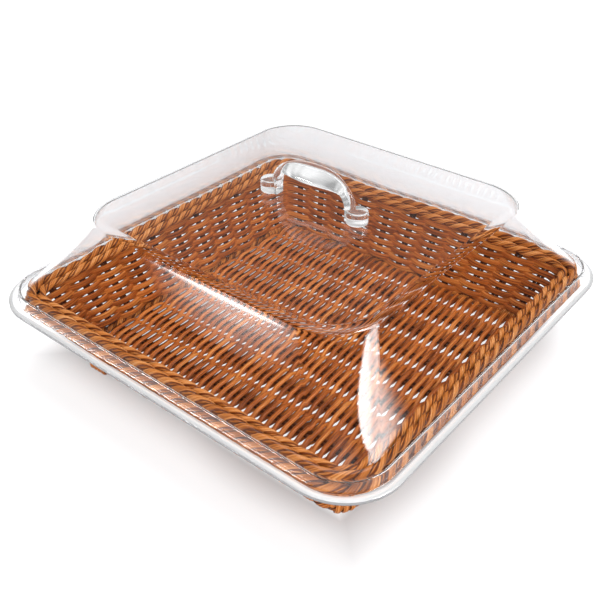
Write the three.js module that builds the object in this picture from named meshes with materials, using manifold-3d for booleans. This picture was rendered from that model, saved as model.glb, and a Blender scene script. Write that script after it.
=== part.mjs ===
// Square woven display basket with a clear lid that lifts straight off.
// Millimetres, +Z up, origin on the table under the middle of the basket, +X along the handle.
import * as THREE from 'three';
import { mergeGeometries, mergeVertices } from 'three/addons/utils/BufferGeometryUtils.js';
import Module from 'manifold-3d';

const wasm = await Module();
wasm.setup();

// Gap between pieces that touch on the real object
const GAP = 0.3;

// Foot ring and the four bindings that it stands on
const FOOT_RING_HALF = 152.5;
const FOOT_RING_CORNER = 18;
const FOOT_ROPE_RADIUS = 3.6;
const WRAP_WALL = 2;
const WRAP_LENGTH = 20;
const WRAP_LEG = 3.2;
const WRAP_SHIFTS = [14, 27, 27, 35];

// Woven floor, with a rib for each pair of strands that runs along Y
const FLOOR_LIFT = 5.6;
const FLOOR_THICKNESS = 6.3;
const FLOOR_EDGE_GAP = 0.4;
const FLOOR_WEB = 2.4;
const FLOOR_PAIR_PITCH = 7.7;
const FLOOR_PAIR_SHIFT = -2;
const FLOOR_RIB_CREST = 3.2;
const FLOOR_GROOVE_WIDTH = 1;

// Woven wall, which leans outwards
const WALL_THICKNESS = 7;
const WALL_LEAN = 22.5;
const WALL_TOP_CORNER = 24;
const LOWER_WALE_HEIGHT = 14.5;
const OPEN_WEAVE_HEIGHT = 31;
const UPPER_WALE_HEIGHT = 8.7;

// See-through slots that the rows of the open band leave on both sides of each stake
const WALL_STAKES = 44;
const STAKE_WIDTH = 7.4;
const SLOT_LEVELS = 9;
const SLOT_EDGE = 1.9;
const SLOT_HEIGHT = 2;
const SLOT_REACH = 11;

// Border of three ropes round a steel wire
const RIM_WIRE_RADIUS = 1.45;
const RIM_WIRE_SHIFT = 2.2;
const INNER_ROPE_RADIUS = 4.05;
const INNER_ROPE_ANGLE = 153;
const MIDDLE_ROPE_RADIUS = 4.35;
const OUTER_ROPE_RADIUS = 4.35;
const OUTER_ROPE_CLEARANCE = 0.55;

// Clear lid, moulded from one sheet
const LID_SHEET = 2.6;
const LID_FLANGE_WIDTH = 7;
const LID_SKIRT_CLEARANCE = 2.65;
const LID_SKIRT_HEIGHT = 12;
const LID_SKIRT_LEAN = 2.6;
const LID_SHOULDER_BEND = 1.4;
const LID_SEAT_OVERHANG = 1.57;
const LID_WALL_HEIGHT = 63;
const LID_WALL_INSET = 42;
const LID_BULGE_HEIGHT = 24;
const LID_BULGE_INSET = 23;
const LID_WALL_TOP_CORNER = 42;
const LID_TOP_RISE = 4.4;
const LID_TOP_BEND = 8;
const LID_TOP_CORNER = 38;

// Clear handle, bonded on the lid's top
const HANDLE_SHIFT = 2.8;
const HANDLE_HALF_SPAN = 44;
const HANDLE_LEG_HEIGHT = 6.3;
const HANDLE_ARCH_RISE = 30.3;
const HANDLE_SQUARENESS = 2.4;
const HANDLE_LEG_WIDTH = 10;
const HANDLE_LEG_THICKNESS = 8;
const HANDLE_LEAF_WIDTH = 27;
const HANDLE_LEAF_THICKNESS = 12;
const HANDLE_LEAF_HALF_LENGTH = 35;
const HANDLE_CROWN_SHARE = 0.88;
const PAD_RADIUS = 9.3;
const PAD_HEIGHT = 11;
const PAD_SHIFT = 2.2;
const PAD_EDGE = 1.6;

// Fineness of the curves
const CORNER_STEPS = 8;
const ROPE_SIDES = 10;
const WIRE_SIDES = 8;
const LID_WALL_STEPS = 7;
const LID_EDGE_STEPS = 3;
const WRAP_STEPS = 6;
const WRAP_ARC_POINTS = 6;
const HANDLE_STEPS = 24;
const HANDLE_SIDES = 14;
const PAD_SIDES = 28;
const PAD_EDGE_STEPS = 3;

// How far a cutting solid reaches past what it cuts
const CUT_MARGIN = 1;

// Places that follow from the sizes
const footRopeZ = WRAP_WALL + GAP + FOOT_ROPE_RADIUS;
const floorHalf = FOOT_RING_HALF - FOOT_ROPE_RADIUS - FLOOR_EDGE_GAP;
const floorCorner = FOOT_RING_CORNER - (FOOT_RING_HALF - floorHalf);
const wallBottomZ = footRopeZ + FOOT_ROPE_RADIUS + GAP;
const openWeaveZ = wallBottomZ + LOWER_WALE_HEIGHT + GAP;
const upperWaleZ = openWeaveZ + OPEN_WEAVE_HEIGHT + GAP;
const wallTopZ = upperWaleZ + UPPER_WALE_HEIGHT;
const wallTopHalf = FOOT_RING_HALF + WALL_LEAN;
const rimCornerCentre = wallTopHalf - WALL_TOP_CORNER;

const rimWire = {
  h: wallTopHalf + RIM_WIRE_SHIFT,
  z: wallTopZ + GAP + RIM_WIRE_RADIUS,
  radius: RIM_WIRE_RADIUS,
};
const innerRope = ropeBeside(rimWire, INNER_ROPE_RADIUS, INNER_ROPE_ANGLE);
const middleRope = ropeOnTwo(innerRope, rimWire, MIDDLE_ROPE_RADIUS);
const wallFace = wallTopHalf + WALL_THICKNESS / 2;
const outerRope = ropeBelow(middleRope, OUTER_ROPE_RADIUS, wallFace + OUTER_ROPE_CLEARANCE);

const bulgeTurn = Math.atan2(LID_BULGE_HEIGHT, LID_BULGE_INSET);
const shoulderInnerHalf = middleRope.h + LID_SEAT_OVERHANG + LID_SHEET * Math.tan(bulgeTurn / 2);
const skirtFootHalf = outerRope.h + OUTER_ROPE_RADIUS + LID_SKIRT_CLEARANCE + LID_SHEET;
const seatReach = MIDDLE_ROPE_RADIUS + GAP;
const shoulderUnderZ = middleRope.z + Math.sqrt(seatReach ** 2 - LID_SEAT_OVERHANG ** 2);
const lidZ = shoulderUnderZ + LID_SHEET - LID_SKIRT_HEIGHT;
const lidTopZ = lidZ + LID_SKIRT_HEIGHT + LID_WALL_HEIGHT + LID_TOP_RISE;

// A rope beside another one, at an angle from level in degrees
function ropeBeside(rope, radius, degrees) {
  const reach = rope.radius + GAP + radius;
  const angle = THREE.MathUtils.degToRad(degrees);
  return { h: rope.h + reach * Math.cos(angle), z: rope.z + reach * Math.sin(angle), radius };
}

// A rope that lies on two others
function ropeOnTwo(left, right, radius) {
  const toLeft = left.radius + GAP + radius;
  const toRight = right.radius + GAP + radius;
  const apart = Math.hypot(right.h - left.h, right.z - left.z);
  const along = (toLeft ** 2 - toRight ** 2 + apart ** 2) / (2 * apart);
  const across = Math.sqrt(toLeft ** 2 - along ** 2);
  const dh = (right.h - left.h) / apart;
  const dz = (right.z - left.z) / apart;
  return { h: left.h + along * dh - across * dz, z: left.z + along * dz + across * dh, radius };
}

// A rope under another one, outside a wall's face
function ropeBelow(rope, radius, faceHalf) {
  const reach = rope.radius + GAP + radius;
  const h = faceHalf + radius;
  return { h, z: rope.z - Math.sqrt(reach ** 2 - (h - rope.h) ** 2), radius };
}

// Points of a rounded square, turning left round the origin
function roundedSquare(half, corner) {
  const points = [];
  for (let side = 0; side < 4; side += 1) {
    const start = side * Math.PI / 2;
    const toCentre = (half - corner) * Math.SQRT2;
    const cx = toCentre * Math.cos(start + Math.PI / 4);
    const cy = toCentre * Math.sin(start + Math.PI / 4);
    for (let step = 0; step <= CORNER_STEPS; step += 1) {
      const angle = start + step / CORNER_STEPS * Math.PI / 2;
      points.push([cx + corner * Math.cos(angle), cy + corner * Math.sin(angle)]);
    }
  }
  return points;
}

// A skin over rows of points. Each row closes on itself, and turns left seen against the rows' way.
// The last row joins the first, or with an outline given, both ends get a flat cap of that outline.
function skin(rows, outline) {
  const across = rows[0].length;
  const index = [];
  const bands = outline ? rows.length - 1 : rows.length;
  for (let row = 0; row < bands; row += 1) {
    const next = (row + 1) % rows.length;
    for (let k = 0; k < across; k += 1) {
      const after = (k + 1) % across;
      const [a, b] = [row * across + k, row * across + after];
      const [c, d] = [next * across + after, next * across + k];
      index.push(a, b, c, a, c, d);
    }
  }
  if (outline) {
    const last = (rows.length - 1) * across;
    const contour = outline.map(([x, y]) => new THREE.Vector2(x, y));
    for (const [a, b, c] of THREE.ShapeUtils.triangulateShape(contour, [])) {
      index.push(c, b, a, last + a, last + b, last + c);
    }
  }
  const geometry = new THREE.BufferGeometry();
  geometry.setAttribute('position', new THREE.Float32BufferAttribute(rows.flat(2), 3));
  geometry.setIndex(index);
  return geometry;
}

// One row round the basket for each point of a section
function rowsRound(section) {
  return section.map(({ h, z, corner }) => roundedSquare(h, corner).map(([x, y]) => [x, y, z]));
}

// A round rope or wire along the border
function ropeGeometry(rope, corner, sides) {
  const section = [];
  for (let side = 0; side < sides; side += 1) {
    const angle = side / sides * Math.PI * 2;
    const out = rope.radius * Math.cos(angle);
    section.push({ h: rope.h + out, z: rope.z + rope.radius * Math.sin(angle), corner: corner + out });
  }
  return skin(rowsRound(section));
}

function borderRope(rope, sides) {
  return ropeGeometry(rope, rope.h - rimCornerCentre, sides);
}

// A point of the leaning wall, at a height and so far out from its middle
function wallPoint(z, out) {
  const share = (z - wallBottomZ) / (wallTopZ - wallBottomZ);
  const h = THREE.MathUtils.lerp(FOOT_RING_HALF, wallTopHalf, share);
  const corner = THREE.MathUtils.lerp(FOOT_RING_CORNER, WALL_TOP_CORNER, share);
  return { h: h + out, z, corner: corner + out };
}

// One band of the wall, a plain ring of its outer shape
function wallBand(bottom, height) {
  const half = WALL_THICKNESS / 2;
  const top = bottom + height;
  const section = [[bottom, -half], [bottom, half], [top, half], [top, -half]];
  return skin(rowsRound(section.map(([z, out]) => wallPoint(z, out))));
}

// A place on the wall, a share of the way round from the middle of its +X side
function wallPlace(turn, z, out) {
  const side = Math.floor(turn * 4);
  const straight = FOOT_RING_HALF - FOOT_RING_CORNER;
  const arc = FOOT_RING_CORNER * Math.PI / 2;
  const reach = (turn * 4 - side) * (straight + arc + straight);
  const { h, corner } = wallPoint(z, out);
  const before = (h - corner) * Math.min(1, reach / straight);
  const after = (h - corner) * Math.min(1, (straight + arc + straight - reach) / straight);
  const angle = THREE.MathUtils.clamp((reach - straight) / FOOT_RING_CORNER, 0, Math.PI / 2);
  const place = new THREE.Vector2(after + corner * Math.cos(angle), before + corner * Math.sin(angle));
  place.rotateAround(new THREE.Vector2(), side * Math.PI / 2);
  return [place.x, place.y, z];
}

// A cutting solid for one slot beside a stake, pointed away from it
function slotGeometry(stake, side, z) {
  const { h, corner } = wallPoint(openWeaveZ + OPEN_WEAVE_HEIGHT / 2, 0);
  const length = 8 * (h - corner) + 2 * Math.PI * corner;
  const base = stake / WALL_STAKES + side * STAKE_WIDTH / 2 / length;
  const tip = stake / WALL_STAKES + side * SLOT_REACH / length;
  const outline = [[base, z - SLOT_HEIGHT / 2], [tip, z], [base, z + SLOT_HEIGHT / 2]];
  if (side < 0) outline.reverse();
  const reach = WALL_THICKNESS / 2 + CUT_MARGIN;
  return skin(
    [-reach, reach].map((out) => outline.map(([turn, level]) => wallPlace(turn, level, out))),
    [[0, 0], [1, 0], [0, 1]],
  );
}

// The open band of the wall. Its slots lie beside every second stake, by turns from level to level.
function openBand() {
  const slots = [];
  const pitch = (OPEN_WEAVE_HEIGHT - 2 * SLOT_EDGE) / (SLOT_LEVELS - 1);
  for (let level = 0; level < SLOT_LEVELS; level += 1) {
    const z = openWeaveZ + SLOT_EDGE + level * pitch;
    for (let stake = 1 - level % 2; stake < WALL_STAKES; stake += 2) {
      slots.push(slotGeometry(stake, -1, z), slotGeometry(stake, 1, z));
    }
  }
  const band = solidOf(wallBand(openWeaveZ, OPEN_WEAVE_HEIGHT));
  return geometryOf(band.subtract(solidOf(mergeGeometries(slots))));
}

// The floor's section across its pairs of strands, a rib for each above and below a web
function floorSection() {
  const pairs = Math.ceil(floorHalf / FLOOR_PAIR_PITCH) + 1;
  const foot = (FLOOR_PAIR_PITCH - FLOOR_GROOVE_WIDTH) / 2;
  const crest = FLOOR_RIB_CREST / 2;
  const upper = [];
  for (let pair = -pairs; pair <= pairs; pair += 1) {
    const x = FLOOR_PAIR_SHIFT + pair * FLOOR_PAIR_PITCH;
    upper.push([x - foot, FLOOR_WEB / 2], [x - crest, FLOOR_THICKNESS / 2]);
    upper.push([x + crest, FLOOR_THICKNESS / 2], [x + foot, FLOOR_WEB / 2]);
  }
  const lower = upper.map(([x, z]) => [x, -z]);
  return [...lower, ...upper.reverse()];
}

// The woven floor, ribbed by its pairs of strands
function floorGeometry() {
  const middle = FLOOR_LIFT + FLOOR_THICKNESS / 2;
  const section = floorSection();
  const ends = [floorHalf + CUT_MARGIN, -floorHalf - CUT_MARGIN];
  const ribs = skin(ends.map((y) => section.map(([x, z]) => [x, y, middle + z])), section);
  const faces = [-FLOOR_THICKNESS, FLOOR_THICKNESS].map((z) => {
    return { h: floorHalf, z: middle + z, corner: floorCorner };
  });
  const outline = skin(rowsRound(faces), roundedSquare(floorHalf, floorCorner));
  return geometryOf(solidOf(ribs).intersect(solidOf(outline)));
}

// A place on the foot ring past the end of a corner, and the way out from there
function footRingAt(cornerIndex, distance) {
  const straight = FOOT_RING_HALF - FOOT_RING_CORNER;
  const angle = Math.min(distance, 0) / FOOT_RING_CORNER;
  const out = new THREE.Vector2(Math.cos(angle), Math.sin(angle));
  const at = new THREE.Vector2(straight, -straight + Math.max(distance, 0));
  at.addScaledVector(out, FOOT_RING_CORNER);
  const turn = cornerIndex * Math.PI / 2;
  const middle = new THREE.Vector2();
  return { at: at.rotateAround(middle, turn), out: out.rotateAround(middle, turn) };
}

// Half circle of flat facets under the foot rope, with the lowest facet level
function wrapArc(reach) {
  const points = [];
  const facet = Math.PI / WRAP_ARC_POINTS;
  for (let k = 0; k < WRAP_ARC_POINTS; k += 1) {
    const angle = (k + 0.5) * facet;
    const radius = reach / Math.cos(facet / 2);
    points.push([-radius * Math.cos(angle), -radius * Math.sin(angle)]);
  }
  return points;
}

// A binding hooked under the foot rope from outside, along a stretch of the foot ring
function wrapGeometry(cornerIndex, shift) {
  const inside = FOOT_ROPE_RADIUS + GAP;
  const outside = inside + WRAP_WALL;
  const leg = [[-inside, WRAP_LEG], [-outside, WRAP_LEG]];
  const section = [...leg, ...wrapArc(outside), ...wrapArc(inside).reverse()];
  const rows = [];
  for (let step = 0; step <= WRAP_STEPS; step += 1) {
    const distance = shift - FOOT_RING_CORNER + (step / WRAP_STEPS - 0.5) * WRAP_LENGTH;
    const { at, out } = footRingAt(cornerIndex, distance);
    rows.push(section.map(([inward, up]) => {
      const place = at.clone().addScaledVector(out, -inward);
      return [place.x, place.y, footRopeZ + up];
    }));
  }
  return skin(rows, section);
}

// Points along a bend from a start to an end, with a control point, start left out
function bend(from, control, to, steps) {
  const points = [];
  for (let step = 1; step <= steps; step += 1) {
    const t = step / steps;
    const mix = (key) => (1 - t) ** 2 * from[key] + 2 * t * (1 - t) * control[key] + t ** 2 * to[key];
    points.push({ h: mix('h'), z: mix('z'), corner: THREE.MathUtils.lerp(from.corner, to.corner, t) });
  }
  return points;
}

// The lid's outer face, from the flange's edge up to the flat top
function lidFace() {
  const rim = (h, z) => ({ h, z: lidZ + z, corner: h - rimCornerCentre });
  const shoulderHalf = skirtFootHalf - LID_SKIRT_LEAN;
  const edge = rim(skirtFootHalf + LID_FLANGE_WIDTH, LID_SHEET);
  const skirtFoot = rim(skirtFootHalf, LID_SHEET);
  const skirtTop = rim(shoulderHalf, LID_SKIRT_HEIGHT - LID_SHOULDER_BEND);
  const shoulderOuter = rim(shoulderHalf - LID_SHOULDER_BEND, LID_SKIRT_HEIGHT);
  const shoulderInner = rim(shoulderInnerHalf, LID_SKIRT_HEIGHT);
  const bulge = { h: shoulderInner.h - LID_BULGE_INSET, z: shoulderInner.z + LID_BULGE_HEIGHT };
  const wallTop = {
    h: shoulderInner.h - LID_WALL_INSET,
    z: shoulderInner.z + LID_WALL_HEIGHT,
    corner: LID_WALL_TOP_CORNER,
  };
  const slope = (bulge.h - wallTop.h) / (wallTop.z - bulge.z);
  const crown = { h: wallTop.h - slope * LID_TOP_RISE, z: lidTopZ };
  const top = { h: wallTop.h - LID_TOP_BEND, z: lidTopZ, corner: LID_TOP_CORNER };
  return [
    edge, skirtFoot, skirtTop, shoulderOuter, shoulderInner,
    ...bend(shoulderInner, bulge, wallTop, LID_WALL_STEPS),
    ...bend(wallTop, crown, top, LID_EDGE_STEPS),
  ];
}

// The same face moved inwards by the sheet's thickness
function insideOf(face) {
  const normal = (from, to) => {
    const length = Math.hypot(to.h - from.h, to.z - from.z);
    return { h: (from.z - to.z) / length, z: (to.h - from.h) / length };
  };
  const edgeNormal = { h: 0, z: -1 };
  return face.map((point, k) => {
    const before = k > 0 ? normal(face[k - 1], point) : edgeNormal;
    const after = k < face.length - 1 ? normal(point, face[k + 1]) : edgeNormal;
    const stretch = LID_SHEET / (1 + before.h * after.h + before.z * after.z);
    const dh = (before.h + after.h) * stretch;
    return { h: point.h + dh, z: point.z + (before.z + after.z) * stretch, corner: point.corner + dh };
  });
}

function lidGeometry() {
  const face = lidFace();
  const top = face[face.length - 1];
  const section = [...insideOf(face).reverse(), ...face];
  return skin(rowsRound(section), roundedSquare(top.h, top.corner));
}

// Width and thickness of the handle's strap, a leaf in the middle and plain legs
function strapSize(x) {
  const share = Math.max(0, 1 - (x / HANDLE_LEAF_HALF_LENGTH) ** 2);
  return {
    width: THREE.MathUtils.lerp(HANDLE_LEG_WIDTH, HANDLE_LEAF_WIDTH, share),
    thickness: THREE.MathUtils.lerp(HANDLE_LEG_THICKNESS, HANDLE_LEAF_THICKNESS, share),
  };
}

// The strap's upper line: leg, squarish arch, leg
function strapLine() {
  const legZ = lidTopZ + GAP;
  const archZ = legZ + HANDLE_LEG_HEIGHT;
  const power = 2 / HANDLE_SQUARENESS;
  const points = [new THREE.Vector2(-HANDLE_HALF_SPAN, legZ)];
  for (let step = 0; step <= HANDLE_STEPS; step += 1) {
    const angle = Math.PI * (1 - step / HANDLE_STEPS);
    const cos = Math.cos(angle);
    const x = HANDLE_HALF_SPAN * Math.sign(cos) * Math.abs(cos) ** power;
    points.push(new THREE.Vector2(x, archZ + HANDLE_ARCH_RISE * Math.abs(Math.sin(angle)) ** power));
  }
  points.push(new THREE.Vector2(HANDLE_HALF_SPAN, legZ));
  return points;
}

// Points of a round outline of radius 1
function unitCircle(sides) {
  return Array.from({ length: sides }, (_, k) => {
    const angle = k / sides * Math.PI * 2;
    return [Math.cos(angle), Math.sin(angle)];
  });
}

// The strap under its line, crowned above its widest place and flatter below
function strapGeometry() {
  const line = strapLine();
  const outline = unitCircle(HANDLE_SIDES);
  const end = line.length - 1;
  const rows = line.map((point, k) => {
    const upright = k === 0 || k === end;
    const before = line[upright ? k : k - 1];
    const after = line[upright ? k : k + 1];
    const side = point.x < 0 ? -1 : 1;
    const way = upright ? new THREE.Vector2(0, -side) : after.clone().sub(before).normalize();
    const { width, thickness } = strapSize(point.x);
    return outline.map(([cos, sin]) => {
      const share = sin > 0 ? HANDLE_CROWN_SHARE : 1 - HANDLE_CROWN_SHARE;
      const lift = (sin * share - HANDLE_CROWN_SHARE) * thickness;
      return [HANDLE_SHIFT + point.x - way.y * lift, cos * width / 2, point.y + way.x * lift];
    });
  });
  return skin(rows, outline);
}

// A round pad with a softened top edge, under the end of the strap
function padGeometry(x) {
  const footZ = lidTopZ + GAP;
  const profile = [[PAD_RADIUS, footZ]];
  for (let step = 0; step <= PAD_EDGE_STEPS; step += 1) {
    const angle = step / PAD_EDGE_STEPS * Math.PI / 2;
    const radius = PAD_RADIUS - PAD_EDGE * (1 - Math.cos(angle));
    profile.push([radius, footZ + PAD_HEIGHT - PAD_EDGE * (1 - Math.sin(angle))]);
  }
  const circle = unitCircle(PAD_SIDES);
  const rows = profile.map(([radius, z]) => {
    return circle.map(([cos, sin]) => [x + radius * cos, radius * sin, z]);
  });
  return skin(rows, circle);
}

// A geometry as a solid that can be joined and cut
function solidOf(geometry) {
  const { attributes, index } = mergeVertices(geometry, 1e-4);
  return new wasm.Manifold(new wasm.Mesh({
    numProp: 3,
    vertProperties: new Float32Array(attributes.position.array),
    triVerts: new Uint32Array(index.array),
  }));
}

// The skin of a joined or cut solid
function geometryOf(solid) {
  const mesh = solid.getMesh();
  const geometry = new THREE.BufferGeometry();
  geometry.setAttribute('position', new THREE.BufferAttribute(mesh.vertProperties, 3));
  geometry.setIndex(new THREE.BufferAttribute(mesh.triVerts, 1));
  return geometry;
}

function handleGeometry() {
  const reach = HANDLE_HALF_SPAN + PAD_SHIFT;
  const pads = [-reach, reach].map((x) => solidOf(padGeometry(HANDLE_SHIFT + x)));
  return geometryOf(solidOf(strapGeometry()).add(pads[0]).add(pads[1]));
}

const strand = { roughness: 0.55, metalness: 0 };
const finishes = {
  weave: new THREE.MeshStandardMaterial({ color: 0xb5642f, ...strand }),
  wale: new THREE.MeshStandardMaterial({ color: 0xa85a2a, ...strand }),
  rope: new THREE.MeshStandardMaterial({ color: 0xc87f47, ...strand }),
  wire: new THREE.MeshStandardMaterial({ color: 0x8a8a88, roughness: 0.4, metalness: 1 }),
  clear: new THREE.MeshStandardMaterial({
    color: 0xf4f7f8, roughness: 0.05, metalness: 0, transparent: true, opacity: 0.35,
  }),
};

// A named piece with a finish of its own
function piece(name, geometry, finish) {
  geometry.computeVertexNormals();
  const mesh = new THREE.Mesh(geometry, finish.clone());
  mesh.name = name;
  return mesh;
}

function basket() {
  const group = new THREE.Group();
  group.add(
    piece('floor_weave', floorGeometry(), finishes.weave),
    piece('lower_wale', wallBand(wallBottomZ, LOWER_WALE_HEIGHT), finishes.wale),
    piece('wall_weave', openBand(), finishes.weave),
    piece('upper_wale', wallBand(upperWaleZ, UPPER_WALE_HEIGHT), finishes.wale),
    piece('rim_rope_inner', borderRope(innerRope, ROPE_SIDES), finishes.rope),
    piece('rim_rope_middle', borderRope(middleRope, ROPE_SIDES), finishes.rope),
    piece('rim_rope_outer', borderRope(outerRope, ROPE_SIDES), finishes.rope),
    piece('rim_wire', borderRope(rimWire, WIRE_SIDES), finishes.wire),
  );
  const footRope = { h: FOOT_RING_HALF, z: footRopeZ, radius: FOOT_ROPE_RADIUS };
  group.add(piece('foot_rope', ropeGeometry(footRope, FOOT_RING_CORNER, ROPE_SIDES), finishes.rope));
  WRAP_SHIFTS.forEach((shift, k) => {
    group.add(piece(`foot_wrap_${k + 1}`, wrapGeometry(k, shift), finishes.rope));
  });
  return group;
}

function lid() {
  const group = new THREE.Group();
  group.add(piece('lid_cover', lidGeometry(), finishes.clear));
  group.add(piece('lid_handle', handleGeometry(), finishes.clear));
  return group;
}

const displayBasket = new THREE.Group();
displayBasket.add(basket(), lid());

export default displayBasket;
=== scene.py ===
"""A square woven display basket with a clear lid that lifts off, on a pale studio floor.

Lengths are in metres, +Z is up, and the basket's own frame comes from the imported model.
The script is laid out as an add-on: sizes and colours, one operator for each group of pieces
and one for the studio, a panel that lists them, and a main function that runs them in order.
"""

import math

import bmesh
import bpy
from bpy.props import FloatProperty, FloatVectorProperty, IntProperty, PointerProperty
from mathutils import Matrix, Vector


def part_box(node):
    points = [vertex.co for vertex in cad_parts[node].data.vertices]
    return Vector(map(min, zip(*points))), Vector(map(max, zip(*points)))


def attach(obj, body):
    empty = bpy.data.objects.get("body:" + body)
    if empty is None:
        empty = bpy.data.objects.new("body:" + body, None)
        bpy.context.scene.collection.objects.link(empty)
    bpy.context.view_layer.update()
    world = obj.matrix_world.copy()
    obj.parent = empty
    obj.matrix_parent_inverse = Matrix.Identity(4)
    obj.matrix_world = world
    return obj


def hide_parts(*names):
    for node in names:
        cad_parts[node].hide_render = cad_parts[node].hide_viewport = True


bl_info = {
    "name": "Woven display basket",
    "version": (1, 0, 0),
    "blender": (4, 5, 0),
    "location": "3D View > Sidebar > Basket",
    "description": "Builds a woven display basket with a clear lid, and a studio for it",
    "category": "Add Mesh",
}

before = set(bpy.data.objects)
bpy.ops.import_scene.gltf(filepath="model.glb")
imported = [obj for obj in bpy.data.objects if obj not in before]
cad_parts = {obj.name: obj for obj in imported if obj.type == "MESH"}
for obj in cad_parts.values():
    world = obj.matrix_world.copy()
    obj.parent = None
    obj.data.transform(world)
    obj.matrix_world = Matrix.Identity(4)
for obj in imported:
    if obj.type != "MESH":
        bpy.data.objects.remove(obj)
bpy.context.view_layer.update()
MM = 0.001
TURN = 2 * math.pi

# Kinds of node that come up often
MATH = "ShaderNodeMath"
VECTOR_MATH = "ShaderNodeVectorMath"
MAP_RANGE = "ShaderNodeMapRange"
NOISE = "ShaderNodeTexNoise"
READ = "GeometryNodeInputNamedAttribute"
STORE = "GeometryNodeStoreNamedAttribute"
DUPLICATE = "GeometryNodeDuplicateElements"


def srgb(hex_colour):
    """A colour written as an sRGB hex value, turned to linear."""
    channels = [int(hex_colour[k:k + 2], 16) / 255 for k in (0, 2, 4)]
    return [c / 12.92 if c <= 0.04045 else ((c + 0.055) / 1.055) ** 2.4 for c in channels]


def colour(name, description, hex_colour):
    return FloatVectorProperty(
        name=name, description=description, default=srgb(hex_colour), subtype="COLOR", min=0, max=1
    )


def length(name, description, millimetres):
    return FloatProperty(name=name, description=description, default=millimetres * MM, unit="LENGTH")


class BasketSizes(bpy.types.PropertyGroup):
    strand_width: length("Strand width", "Width of a flat weaving strand", 4.8)
    strand_thickness: length("Strand thickness", "Thickness of a weaving strand", 2.2)
    stake_width: length("Stake width", "Width of one of the two strands of a stake", 3.7)
    stake_thickness: length("Stake thickness", "Thickness of a stake", 2.2)
    pair_spacing: length("Floor pair spacing", "Between twined pairs of the floor", 7.7)
    pair_shift: length("Floor pair shift", "Place of the middle pair", -2)
    pair_swing: length("Floor pair swing", "How far a pair's strands rise and sink", 2.65)
    pair_sway: length("Floor pair sway", "How far a pair's strands swing aside", 1.95)
    row_width: length("Row width", "Width of a strand of the wall", 5.7)
    dense_row_width: length("Dense row width", "Width of a strand of the lower and upper bands", 6)
    row_swing_up: length("Row swing up", "How far a wall strand rises outside a stake", 1.3)
    floor_stake_spacing: length("Floor stake spacing", "Between stakes of the floor", 35)
    wall_stakes: IntProperty(name="Wall stakes", description="Stakes round the wall", default=44)
    wall_rows: IntProperty(name="Wall rows", description="Strands above each other", default=16)
    lower_rows: IntProperty(name="Lower rows", description="Rows in the lower band", default=4)
    upper_rows: IntProperty(name="Upper rows", description="Rows in the upper band", default=3)
    gap_levels: IntProperty(name="Gap levels", description="Levels of slots in the open band", default=9)
    gap_edge: length("Gap edge", "From the open band's edge to its first level of slots", 1.9)
    foot_corner: length("Foot corner", "Corner radius of the foot ring", 18)
    wall_top_corner: length("Wall top corner", "Corner radius at the wall's top", 24)
    wall_thickness: length("Wall thickness", "Thickness of the woven wall", 7)
    inner_rope: length("Inner rope", "Radius of the inner border rope", 4.05)
    middle_rope: length("Middle rope", "Radius of the middle border rope", 4.35)
    outer_rope: length("Outer rope", "Radius of the outer border rope", 4.35)
    foot_rope: length("Foot rope", "Radius of the foot rope", 3.6)
    rope_lay: length("Rope lay", "Length in which a border strand turns once", 32)
    foot_lay: length("Foot lay", "Length in which a strand of the foot rope turns once", 24)
    binding_lay: length("Binding lay", "Between the turns of a foot binding", 4.9)
    binding_width: length("Binding width", "Width of the strand of a foot binding", 4.7)
    binding_thickness: length("Binding thickness", "Thickness of that strand", 2.1)


class BasketColours(bpy.types.PropertyGroup):
    strand: colour("Strand", "Middle colour of a strand", "BC6324")
    strand_light: colour("Light fibres", "Lightest fibres of a strand", "DF9248")
    strand_dark: colour("Dark fibres", "Darkest fibres of a strand", "73350F")
    rope: colour("Rope", "Middle colour of a border strand", "C8762F")
    rope_light: colour("Light rope fibres", "Lightest fibres of a border strand", "EBAC70")
    rope_dark: colour("Dark rope fibres", "Darkest fibres of a border strand", "7A3A12")
    # Painted shade: the stakes are the same strand as the rest, coloured darker for the shade that they
    # lie in inside the weave
    stake: colour("Stake", "Middle colour of the stakes inside the weave", "552A12")
    stake_light: colour("Light stake fibres", "Lightest fibres of a stake", "6E3C1E")
    stake_dark: colour("Dark stake fibres", "Darkest fibres of a stake", "2E150A")
    lid: colour("Lid", "Tint of the clear lid", "FCFDFE")
    # Painted shade: the grey that draws the thin grey line along the lid's cut rim
    rim: colour("Lid rim", "Colour of the lid's cut rim", "C2C2C4")


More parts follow.
